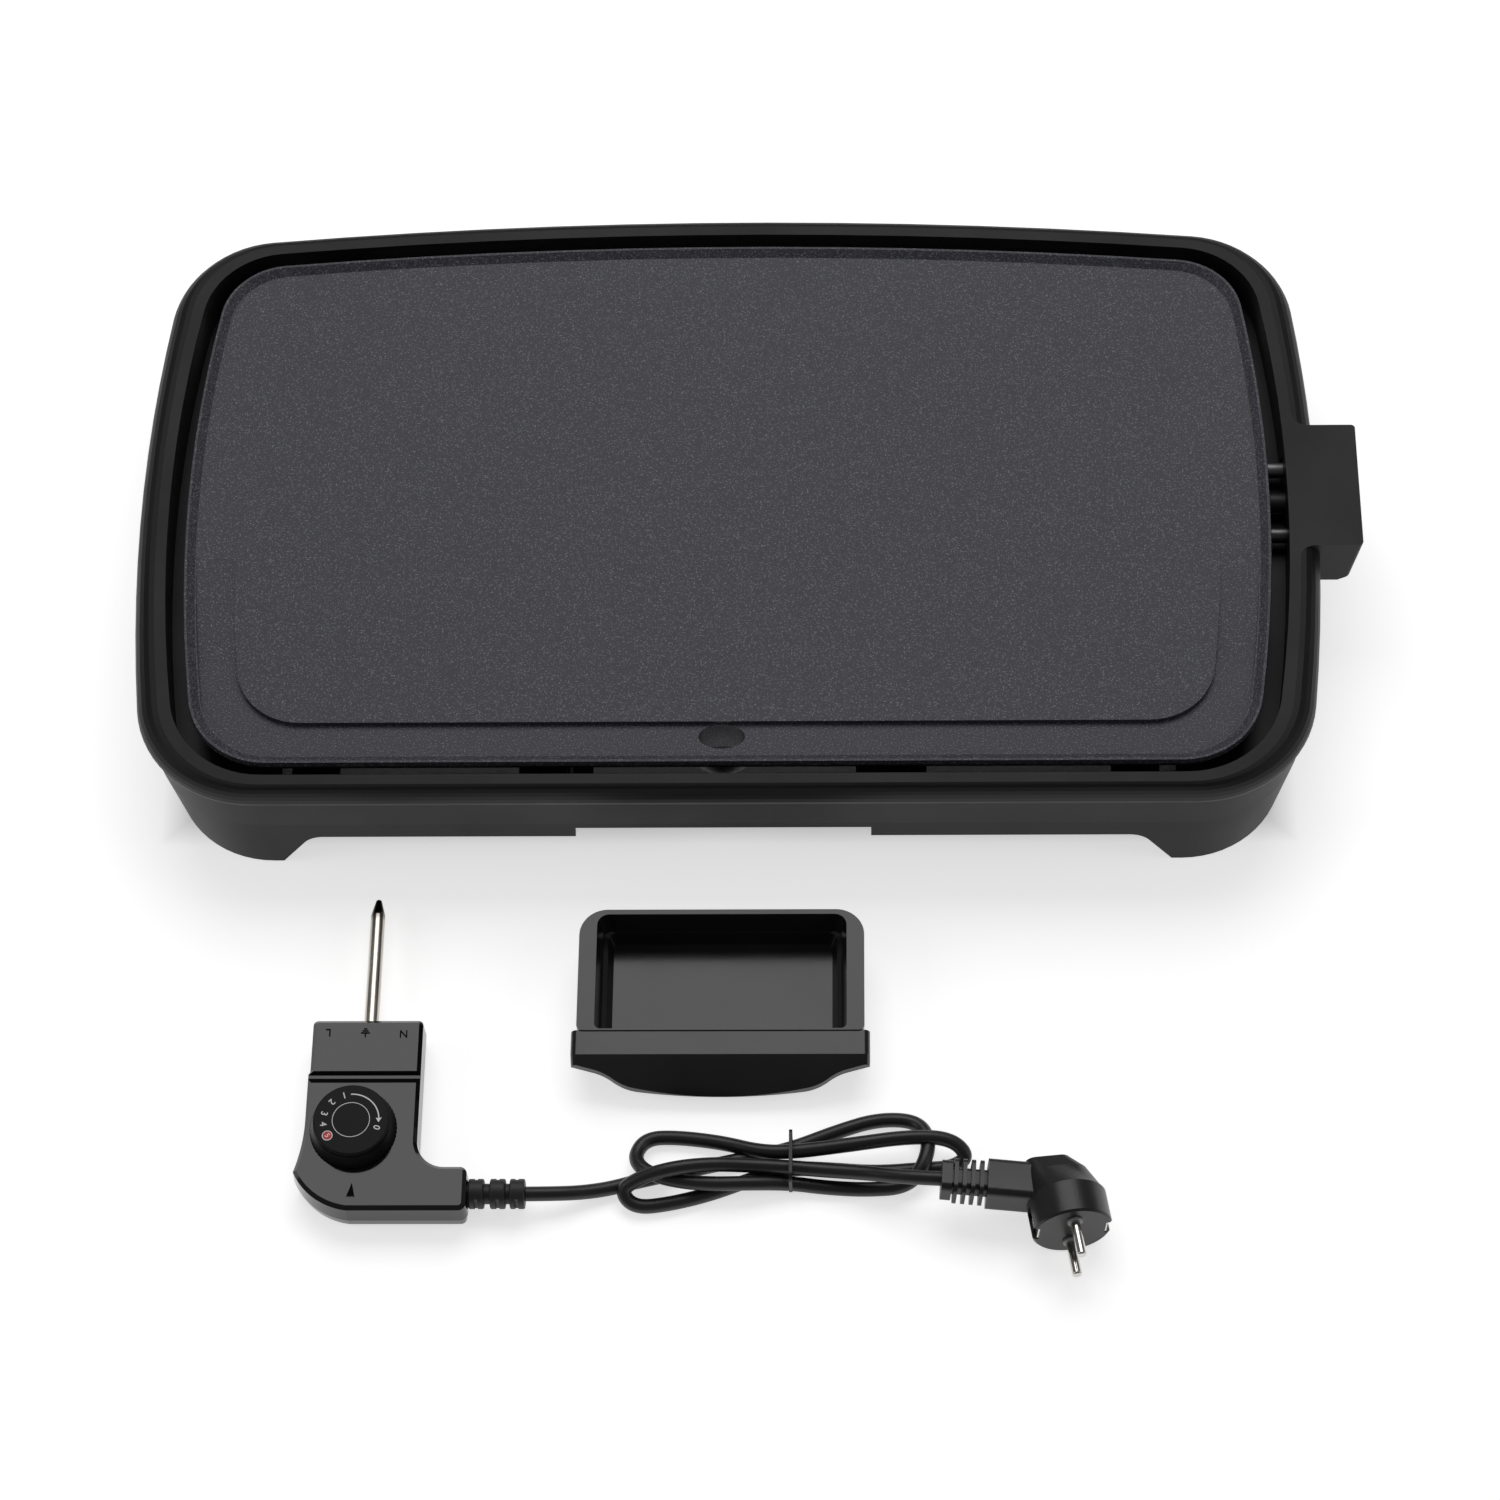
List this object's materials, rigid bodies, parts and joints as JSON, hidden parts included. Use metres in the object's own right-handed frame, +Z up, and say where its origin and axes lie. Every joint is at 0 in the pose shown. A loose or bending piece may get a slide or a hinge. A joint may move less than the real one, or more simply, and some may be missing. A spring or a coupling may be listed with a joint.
{
  "type": "electric griddle",
  "caption": "Table-top electric griddle: rectangular non-stick plate in a black frame on legs, pull-out drip tray, and a plug-in thermostat control with dial, probe and corded plug.",
  "frame": {"origin": "on the table, under the centre of the cooking plate", "axes": "+X to the side with the power socket, +Y to the back, +Z up"},
  "size_m": [0.6263, 0.5845, 0.073],
  "materials": {
    "matt_black_plastic": "matt, fine moulded grain",
    "nonstick_coating": "speckled grey non-stick",
    "element_steel": "dull oxidised sheath",
    "ceramic": "unglazed ceramic",
    "plain_steel": "zinc plated",
    "shield_metal": "rolled sheet",
    "rail_plastic": "matt moulded",
    "foot_rubber": "matt rubber",
    "tray_plastic": "matt rim, smooth inside",
    "glossy_black_plastic": "polished",
    "probe_steel": "bright steel, dark heat-tinted tip",
    "contact_brass": "plain",
    "terminal_plastic": "plain",
    "relief_rubber": "matt",
    "cord_jacket": "matt sheath",
    "tie_plastic": "coated wire",
    "plug_plastic": "semi-matt moulded",
    "pin_metal": "nickel plated",
    "collar_plastic": "pale grey insulation",
    "dial_plastic": "satin with printed marks"
  },
  "bodies": {
    "griddle": {"frame_housing": "matt_black_plastic", "griddle_plate": "nonstick_coating", "heating_element": "element_steel", "element_pins": "element_steel", "pin_insulators": "ceramic", "probe_sleeve": "element_steel", "socket_backplate": "plain_steel", "heat_shield": "shield_metal", "plate_screws": "plain_steel", "shield_screws": "plain_steel", "tray_rail_left": "rail_plastic", "tray_rail_right": "rail_plastic", "rubber_foot_front_left": "foot_rubber", "rubber_foot_front_right": "foot_rubber", "rubber_foot_back_left": "foot_rubber", "rubber_foot_back_right": "foot_rubber"},
    "drip_tray": {"drip_tray": "tray_plastic"},
    "control": {"control_top_shell": "glossy_black_plastic", "control_bottom_shell": "glossy_black_plastic", "shell_screws": "plain_steel", "temperature_probe": "probe_steel", "live_contact": "contact_brass", "neutral_contact": "contact_brass", "earth_contact": "plain_steel", "thermostat_bracket": "plain_steel", "contact_carrier": "ceramic", "fixed_contact_blade": "contact_brass", "moving_contact_blade": "contact_brass", "terminal_block": "terminal_plastic", "cord_clamp": "rail_plastic", "control_strain_relief": "relief_rubber", "cord_lead": "cord_jacket", "cord_hank": "cord_jacket", "cord_tie": "tie_plastic", "cord_tail": "cord_jacket", "plug_body": "plug_plastic", "plug_pins": "pin_metal", "plug_pin_collars": "collar_plastic", "plug_earth_clips": "pin_metal", "plug_strain_relief": "plug_plastic"},
    "dial": {"dial_knob": "dial_plastic", "dial_spindle": "plain_steel"}
  },
  "joints": [
    {"name": "tray_slide", "type": "slide", "parent": "griddle", "child": "drip_tray", "axis": [0, 1, 0], "range_m": [0, 0.109]},
    {"name": "control_lift", "type": "slide", "parent": "griddle", "child": "control", "axis": [0, 0, 1], "range_m": [0, 0.12]},
    {"name": "dial_turn", "type": "hinge", "parent": "control", "child": "dial", "pos_m": [-0.1784, -0.3338, 0.0228], "axis": [0, 0, 1], "range_deg": [0, 286]}
  ]
}
